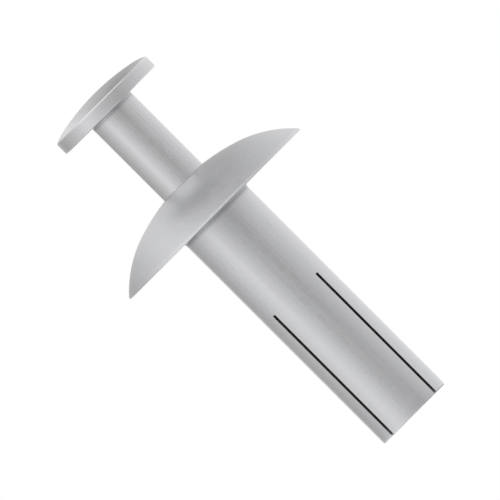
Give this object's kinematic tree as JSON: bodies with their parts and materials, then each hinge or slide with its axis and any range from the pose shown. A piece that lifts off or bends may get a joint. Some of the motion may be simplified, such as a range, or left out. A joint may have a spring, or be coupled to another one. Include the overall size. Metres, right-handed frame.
{
  "type": "drive rivet",
  "caption": "Drive rivet with a wide domed head, a slotted blind shank and a headed pin that is hammered in to spread the shank's end.",
  "frame": {"origin": "centre of the body head's bearing face, where the shank leaves it", "axes": "+Z along the common axis, out through the heads; the slits lie on the diagonals between X and Y"},
  "size_m": [0.0178, 0.0178, 0.0338],
  "materials": {
    "body": "satin",
    "pin": "satin"
  },
  "bodies": {
    "rivet_body": {"rivet_body": "body"},
    "drive_pin": {"drive_pin": "pin"}
  },
  "joints": [
    {"name": "pin_drive", "type": "slide", "parent": "rivet_body", "child": "drive_pin", "axis": [0, 0, -1], "range_m": [0, 0.0076]}
  ]
}
